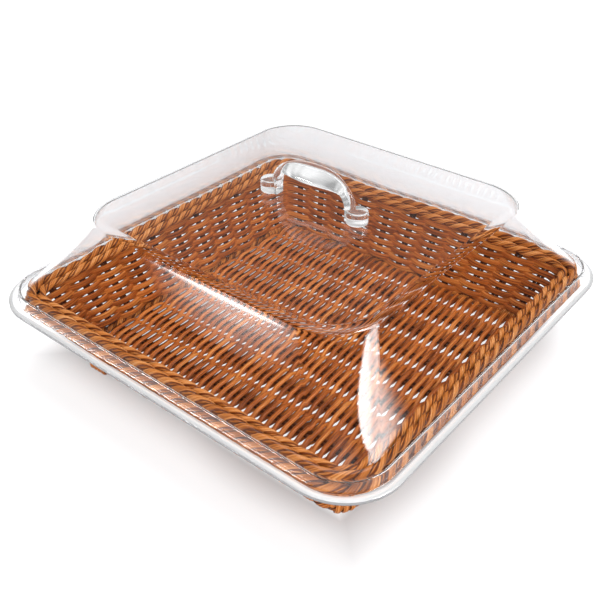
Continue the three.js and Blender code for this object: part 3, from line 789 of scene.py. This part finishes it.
def skinned(name, rows):
    """A smooth closed mesh over rows of points, with a face at both ends."""
    form = bmesh.new()
    made = [[form.verts.new(point) for point in row] for row in rows]
    for row, following in zip(made, made[1:]):
        for k in range(len(row)):
            after = (k + 1) % len(row)
            form.faces.new((row[k], row[after], following[after], following[k]))
    form.faces.new(made[-1])
    form.faces.new(made[0][::-1])
    bmesh.ops.recalc_face_normals(form, faces=form.faces)
    for plane in form.faces:
        plane.smooth = True
    mesh = bpy.data.meshes.new(name)
    form.to_mesh(mesh)
    form.free()
    return mesh


class BASKET_OT_lid_cover(bpy.types.Operator):
    """Forms the clear lid from one sheet: flange, skirt, shoulder, curved walls and flat top"""

    bl_idname = "basket.lid_cover"
    bl_label = "Form the lid"

    def execute(self, context):
        lid = context.scene.lid_sizes
        colours = context.scene.basket_colours
        low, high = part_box("lid_cover")
        face = self.face(lid, low.z, high.x, high.z)
        section = self.inside(face, lid.sheet)[::-1] + face
        mesh = skinned("lid_cover_sheet", [rounded_square(half, corner, z) for half, z, corner in section])
        mesh.materials.append(clear_finish("Clear acrylic, formed sheet", colours.lid))
        # The flange, pressed flat, gathers light from the whole sheet and looks white. That light is
        # painted: the flange is partly white and opaque
        mesh.materials.append(clear_finish("Clear acrylic, pressed flange", colours.lid, 0.6))
        # Its outer face is sawn and polished. Its grey, partly opaque finish is painted shade, which draws
        # the thin grey line along the cut edge
        mesh.materials.append(clear_finish("Clear acrylic, cut rim, greyed for painted shade", colours.rim, 0.6))
        foot_half = high.x - lid.flange_width
        centre = Vector((lid.rim_corner_centre, lid.rim_corner_centre))
        for plane in mesh.polygons:
            place = Vector((abs(plane.center.x), abs(plane.center.y)))
            on_corner = min(place) > lid.rim_corner_centre
            reach = lid.rim_corner_centre + (place - centre).length if on_corner else max(place)
            if reach > high.x - 0.1 * MM:
                plane.material_index = 2
            elif reach > foot_half + lid.flange_width / 2 and plane.center.z < low.z + lid.sheet * 1.05:
                plane.material_index = 1
        finished_piece("lid_cover_sheet", mesh, "lid", "lid_cover")
        return {"FINISHED"}

    def face(self, lid, z, rim_half, top_z):
        """The outer face, from the flange's edge up to the flat top."""
        def rim(half, rise):
            return (half, z + rise, half - lid.rim_corner_centre)

        foot_bend, shoulder_bend, wall_bend = 1.5 * MM, 1.8 * MM, 1.4 * MM
        skirt_half = rim_half - lid.flange_width
        edge = rim(rim_half, lid.sheet)
        skirt_foot = rim(skirt_half, lid.sheet)
        skirt_top = rim(skirt_half - lid.skirt_lean, lid.skirt_height)
        shoulder_inner = rim(lid.shoulder_inner, lid.skirt_height)
        bulge = (lid.shoulder_inner - lid.bulge_inset, shoulder_inner[1] + lid.bulge_height, 0)
        wall_top = (lid.shoulder_inner - lid.wall_inset, shoulder_inner[1] + lid.wall_height,
                    lid.wall_top_corner)
        slope = (bulge[0] - wall_top[0]) / (wall_top[1] - bulge[1])
        crown = (wall_top[0] - slope * lid.top_rise, top_z, 0)
        top = (wall_top[0] - lid.top_bend, top_z, lid.top_corner)
        wall = bend(shoulder_inner, bulge, wall_top, 32)
        return [
            edge,
            *rounded(edge, skirt_foot, skirt_top, foot_bend),
            *rounded(skirt_foot, skirt_top, shoulder_inner, shoulder_bend),
            *rounded(skirt_top, shoulder_inner, wall[2], wall_bend),
            *wall[3:],
            *bend(wall_top, crown, top, 16),
        ]

    def inside(self, face, sheet):
        """The same face moved inwards by the sheet's thickness."""
        moved = []
        for k, point in enumerate(face):
            ways = []
            for start, end in ((k - 1, k), (k, k + 1)):
                if start < 0 or end >= len(face):
                    ways.append(Vector((0, -1)))
                    continue
                way = Vector((face[end][0] - face[start][0], face[end][1] - face[start][1])).normalized()
                ways.append(Vector((-way.y, way.x)))
            shift = (ways[0] + ways[1]) * sheet / (1 + ways[0].dot(ways[1]))
            moved.append((point[0] + shift.x, point[1] + shift.y, point[2] + shift.x))
        return moved


# The share of the grip's thickness that lies on its outer side, above the arch's line
CROWN_SHARE = 0.88


class BASKET_OT_lid_handle(bpy.types.Operator):
    """Moulds the clear handle: an arch with a leaf-shaped grip, on two round pads"""

    bl_idname = "basket.lid_handle"
    bl_label = "Mould the handle"

    def execute(self, context):
        lid = context.scene.lid_sizes
        base_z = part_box("lid_handle")[0].z
        strap = working_object(skinned("strap", self.strap(lid, base_z)))
        reach = lid.handle_half_span + lid.pad_shift
        pads = [working_object(skinned("pad", self.pad(lid, lid.handle_shift + side * reach, base_z)))
                for side in (-1, 1)]
        for pad in pads:
            join = strap.modifiers.new("join", "BOOLEAN")
            join.operation = "UNION"
            join.solver = "EXACT"
            join.object = pad
        mesh = settled(strap)
        for holder in (strap, *pads):
            bpy.data.objects.remove(holder)
        mesh.materials.clear()
        mesh.materials.append(handle_finish())
        mesh.set_sharp_from_angle(angle=math.radians(40))
        finished_piece("lid_handle_moulding", mesh, "lid", "lid_handle")
        return {"FINISHED"}

    def strap(self, lid, base_z, steps=72, sides=32):
        """Rows of points round the arch, with a round section that widens to the grip."""
        arch_z = base_z + lid.leg_height
        power = 2 / lid.arch_squareness
        line = [(-lid.handle_half_span, base_z)]
        for step in range(steps + 1):
            angle = math.pi * (1 - step / steps)
            cosine = math.cos(angle)
            x = lid.handle_half_span * math.copysign(abs(cosine) ** power, cosine)
            line.append((x, arch_z + lid.arch_rise * abs(math.sin(angle)) ** power))
        line.append((lid.handle_half_span, base_z))
        rows = []
        for k, (x, z) in enumerate(line):
            before = Vector(line[max(k - 1, 0)])
            after = Vector(line[min(k + 1, len(line) - 1)])
            way = (after - before).normalized()
            share = max(0.0, 1 - (x / lid.leaf_half_length) ** 2)
            width = lid.leg_width + (lid.leaf_width - lid.leg_width) * share
            thickness = lid.leg_thickness + (lid.leaf_thickness - lid.leg_thickness) * share
            row = []
            for side in range(sides):
                angle = side / sides * TURN
                part = CROWN_SHARE if math.sin(angle) > 0 else 1 - CROWN_SHARE
                lift = (math.sin(angle) * part - CROWN_SHARE) * thickness
                row.append((lid.handle_shift + x - way.y * lift, math.cos(angle) * width / 2,
                            z + way.x * lift))
            rows.append(row)
        return rows

    def pad(self, lid, x, base_z, sides=48, edge_steps=6):
        """Rows of points round a pad with a softened top edge."""
        profile = [(lid.pad_radius - lid.pad_chamfer, base_z), (lid.pad_radius, base_z + lid.pad_chamfer)]
        for step in range(edge_steps + 1):
            angle = step / edge_steps * TURN / 4
            profile.append((lid.pad_radius - lid.pad_edge * (1 - math.cos(angle)),
                            base_z + lid.pad_height - lid.pad_edge * (1 - math.sin(angle))))
        angles = [k / sides * TURN for k in range(sides)]
        return [[(x + radius * math.cos(angle), radius * math.sin(angle), z) for angle in angles]
                for radius, z in profile]


# The studio

# The camera stands where the photographer's stood. Its turn, lift and roll are in degrees
VIEW_ANGLES = (38.816, 34.313, 0.62)
VIEW_TARGET = Vector((11.286, -26.208, 66.5)) * MM
VIEW_DISTANCE = 722.02 * MM
VIEW_LENS = 49.47

# Oval cards that polished surfaces mirror, each seen from the object in a direction of its own. In
# degrees: turn, lift, tilt, half width and half height. Then how soft its edge is, and its strength
SIDE_BOX = (24, 25, 45, 30, 10.3, 0.1, 16)
FRONT_BOX = (-125, -2.35, -5, 18, 10.5, 0.13, 28)
FRONT_GLOW = (-125, 0, 0, 9, 16, 0.9, 7)
HORIZON = (128, 0, 0, 70, 14, 0.4, 0.8)
BACK_WALL = (128, 32, 0, 60, 30, 0.5, 0.12)
CEILING = (0, 90, 0, 40, 40, 0.35, 1)
STRAND_SHEEN = (-40, 66, 0, 16, 16, 0.5, 5)
ROOM_LIGHT = 0.03
# Rays that went in and out of the lid twice have a transmission depth of 4
TWICE_THROUGH = 3.5


def seen_rays(tree):
    """1 for rays that the background shows to: from the camera, off gloss and through glass."""
    path = add(tree, "ShaderNodeLightPath").outputs
    seen = path["Is Camera Ray"]
    for ray in ("Is Glossy Ray", "Is Transmission Ray"):
        seen = add(tree, MATH, [seen, path[ray]], operation="MAXIMUM")
    return seen


def square_distance(tree, place, middle):
    """How far a place is from a middle, along X or along Y, whichever is more."""
    away = add(tree, VECTOR_MATH, [place, middle], operation="SUBTRACT")
    sizes = add(tree, VECTOR_MATH, [away], operation="ABSOLUTE")
    parts = add(tree, "ShaderNodeSeparateXYZ", [sizes]).outputs
    return add(tree, MATH, [parts["X"], parts["Y"]], operation="MAXIMUM")


class BASKET_OT_studio(bpy.types.Operator):
    """Sets a pale floor, soft lamps, a white surround and the camera"""

    bl_idname = "basket.studio"
    bl_label = "Set up the studio"

    def execute(self, context):
        scene = context.scene
        scene.view_settings.view_transform = "Standard"
        self.floor()
        self.surround(scene)
        self.lamp("overhead", (-0.2, 0.75, 1.6), (0, 0, 0.05), side=1.2, power=23)
        self.lamp("front", (1.35, -1.6, 1.5), (-0.05, 0.05, 0.05), side=1.3, power=47)
        self.camera(scene)
        return {"FINISHED"}

    def floor(self):
        """A studio floor of matte white paint, which keeps the basket's shadow. To the camera it also
        glows, and that glow paints light and shade: white where it shows through the basket's weave,
        dimmer towards the far left under it, little in a ring round the basket, a painted shadow over the
        real one that is deepest by its front corner, and more outside it, up to the white of the surround."""
        mesh = bpy.data.meshes.new("studio_floor")
        mesh.from_pydata([(-6, -6, 0), (6, -6, 0), (6, 6, 0), (-6, 6, 0)], [], [(0, 1, 2, 3)])
        floor = bpy.data.objects.new("studio_floor", mesh)
        bpy.context.scene.collection.objects.link(floor)
        material = bpy.data.materials.new("White paint, matte")
        material.use_nodes = True
        tree = material.node_tree
        shader = tree.nodes["Principled BSDF"]
        shader.inputs["Base Color"].default_value = (*srgb("B2B2B4"), 1)
        shader.inputs["Roughness"].default_value = 0.9
        shader.inputs["Specular IOR Level"].default_value = 0.1
        place = add(tree, "ShaderNodeTexCoord").outputs["Object"]
        from_middle = square_distance(tree, place, (0, 0, 0))
        beside = square_distance(tree, place, (1 * MM, 5 * MM, 0))
        leftward = add(tree, VECTOR_MATH, [place, (-0.85, 0.3, 0)], operation="DOT_PRODUCT")
        from_front = add(tree, VECTOR_MATH, [place, (83 * MM, -75 * MM, 0)], operation="DISTANCE")
        # The glow paints light and shade: white under the basket, dimmer to its far left, and a painted
        # shadow in a ring round it, deepest by its front corner
        # For each: a distance, where its change starts and ends, and its values there
        under, painted_far_left_shade, painted_shadow_ring, painted_front_shadow = [
            add(tree, MAP_RANGE, [distance, start * MM, end * MM, first, last],
                interpolation_type="SMOOTHSTEP")
            for distance, start, end, first, last in (
                (from_middle, 138, 158, 1, 0.2),
                (leftward, 55, 105, 1, 0.5),
                (beside, 124, 197, 0, 0.61),
                (from_front, 59, 125, 0.57, 1),
            )
        ]
        far_off = add(tree, MAP_RANGE, [from_middle, 0.2, 0.9, 1, 1.64])
        glow_under = add(tree, MATH, [under, painted_far_left_shade], operation="MULTIPLY")
        for part in (painted_front_shadow, far_off):
            painted_shadow_ring = add(tree, MATH, [painted_shadow_ring, part], operation="MULTIPLY")
        glow = add(tree, MATH, [glow_under, painted_shadow_ring], operation="MAXIMUM")
        seen_glow = add(tree, MATH, [seen_rays(tree), glow], operation="MULTIPLY")
        shader.inputs["Emission Color"].default_value = (1, 1, 1, 1)
        tree.links.new(seen_glow.outputs[0], shader.inputs["Emission Strength"])
        mesh.materials.append(material)

    def surround(self, scene):
        """A white surround: the camera sees it white, and it lights the object half as much. What
        polished surfaces mirror is a dark room with pale cards in it."""
        world = bpy.data.worlds.new("White surround")
        world.use_nodes = True
        tree = world.node_tree
        light = tree.nodes["Background"]
        light.inputs["Color"].default_value = (1, 1, 1, 1)
        light.inputs["Strength"].default_value = 0.5
        white = add(tree, "ShaderNodeBackground", {"Color": (1, 1, 1, 1), "Strength": 1})
        seen = add(tree, "ShaderNodeMixShader", [seen_rays(tree), light, white])
        way = add(tree, "ShaderNodeTexCoord").outputs["Generated"]
        # The side box grows dimmer along its length and ends in a soft edge
        turn = math.radians(22)
        across = add(tree, VECTOR_MATH, [way, (-math.sin(turn), math.cos(turn), 0)],
                     operation="DOT_PRODUCT")
        side_box = self.card(tree, way, *SIDE_BOX)
        for start, end, first, last in ((-0.25, 0.1, 1, 0.4), (0.29, 0.345, 1, 0)):
            dimmer = add(tree, MAP_RANGE, [across, start, end, first, last],
                         interpolation_type="SMOOTHSTEP")
            side_box = add(tree, MATH, [side_box, dimmer], operation="MULTIPLY")
        cards = side_box
        for values in (FRONT_BOX, BACK_WALL, FRONT_GLOW, HORIZON):
            cards = add(tree, MATH, [cards, self.card(tree, way, *values)], operation="ADD")
        # Rays that went through the lid twice come from the strands, which mirror only their sheen
        path = add(tree, "ShaderNodeLightPath").outputs
        off_lid = add(tree, MATH, [path["Transmission Depth"], TWICE_THROUGH], operation="LESS_THAN")
        off_strands = add(tree, MATH, [off_lid, -1, 1], operation="MULTIPLY_ADD")
        level = add(tree, MATH, [cards, off_lid, ROOM_LIGHT], operation="MULTIPLY_ADD")
        sheen = self.card(tree, way, *STRAND_SHEEN)
        level = add(tree, MATH, [sheen, off_strands, level], operation="MULTIPLY_ADD")
        level = add(tree, MATH, [self.card(tree, way, *CEILING), level], operation="ADD")
        room = add(tree, "ShaderNodeBackground", {"Color": (1, 1, 1, 1), "Strength": level})
        reflected = add(tree, MATH, [path["Glossy Depth"], 0.5], operation="GREATER_THAN")
        mirrored = add(tree, MATH, [reflected, seen_rays(tree)], operation="MULTIPLY")
        mix = add(tree, "ShaderNodeMixShader", [mirrored, seen, room])
        tree.links.new(mix.outputs[0], tree.nodes["World Output"].inputs["Surface"])
        scene.world = world

    def card(self, tree, way, turn, lift, tilt, half_width, half_height, softness, strength):
        """How much light comes from an oval card in a direction. It is brightest in its middle."""
        turn, lift = math.radians(turn), math.radians(lift)
        ahead = Vector((math.cos(turn) * math.cos(lift), math.sin(turn) * math.cos(lift), math.sin(lift)))
        level = Vector((-math.sin(turn), math.cos(turn), 0))
        aside = Matrix.Rotation(math.radians(-tilt), 3, ahead) @ level
        above = ahead.cross(aside) / math.sin(math.radians(half_height))
        aside = aside / math.sin(math.radians(half_width))
        x, y, front = [add(tree, VECTOR_MATH, [way, axis], operation="DOT_PRODUCT")
                       for axis in (aside, above, ahead)]
        off = add(tree, "ShaderNodeCombineXYZ", [x, y])
        distance = add(tree, VECTOR_MATH, [off], operation="LENGTH")
        shown = add(tree, MAP_RANGE, [distance, 1 - softness, 1, strength, 0],
                    interpolation_type="SMOOTHSTEP")
        facing = add(tree, MATH, [front, 0], operation="GREATER_THAN")
        return add(tree, MATH, [shown, facing], operation="MULTIPLY")

    def lamp(self, name, place, target, side, power):
        """A square soft box, turned to a point. It shows in no reflection."""
        data = bpy.data.lights.new(name, "AREA")
        data.size = side
        data.energy = power
        lamp = bpy.data.objects.new(name, data)
        way = Vector(target) - Vector(place)
        lamp.matrix_world = Matrix.Translation(place) @ way.to_track_quat("-Z", "Y").to_matrix().to_4x4()
        lamp.visible_glossy = False
        lamp.visible_transmission = False
        bpy.context.scene.collection.objects.link(lamp)

    def camera(self, scene):
        """The camera, rolled a little, looks at a point in the basket."""
        turn, lift, roll = [math.radians(angle) for angle in VIEW_ANGLES]
        back = Vector((math.sin(turn) * math.cos(lift), -math.cos(turn) * math.cos(lift), math.sin(lift)))
        right = Vector((math.cos(turn), math.sin(turn), 0))
        up = back.cross(right)
        rolled_right = right * math.cos(roll) + up * math.sin(roll)
        rolled_up = up * math.cos(roll) - right * math.sin(roll)
        axes = Matrix((rolled_right, rolled_up, back)).transposed().to_4x4()
        data = bpy.data.cameras.new("camera")
        data.lens = VIEW_LENS
        data.sensor_width = 36
        camera = bpy.data.objects.new("camera", data)
        camera.matrix_world = Matrix.Translation(VIEW_TARGET + back * VIEW_DISTANCE) @ axes
        scene.collection.objects.link(camera)
        scene.camera = camera


class BASKET_PT_panel(bpy.types.Panel):
    """Lists the steps that build the basket, with its sizes and colours"""

    bl_idname = "BASKET_PT_panel"
    bl_label = "Woven basket"
    bl_space_type = "VIEW_3D"
    bl_region_type = "UI"
    bl_category = "Basket"

    def draw(self, context):
        for operator in STEPS:
            self.layout.operator(operator.bl_idname)
        for group in SETTINGS:
            settings = getattr(context.scene, group)
            column = self.layout.column(align=True)
            for name in settings.__annotations__:
                column.prop(settings, name)


STEPS = (
    BASKET_OT_floor,
    BASKET_OT_wall,
    BASKET_OT_border,
    BASKET_OT_foot,
    BASKET_OT_lid_cover,
    BASKET_OT_lid_handle,
    BASKET_OT_studio,
)
SETTINGS = {"basket_sizes": BasketSizes, "basket_colours": BasketColours, "lid_sizes": LidSizes}


def register():
    for kind in (*SETTINGS.values(), *STEPS, BASKET_PT_panel):
        bpy.utils.register_class(kind)
    for name, kind in SETTINGS.items():
        setattr(bpy.types.Scene, name, PointerProperty(type=kind))


def unregister():
    for name in SETTINGS:
        delattr(bpy.types.Scene, name)
    for kind in (BASKET_PT_panel, *reversed(STEPS), *reversed(SETTINGS.values())):
        bpy.utils.unregister_class(kind)


def main():
    register()
    for step in STEPS:
        group, name = step.bl_idname.split(".")
        getattr(getattr(bpy.ops, group), name)()


if __name__ == "__main__":
    main()
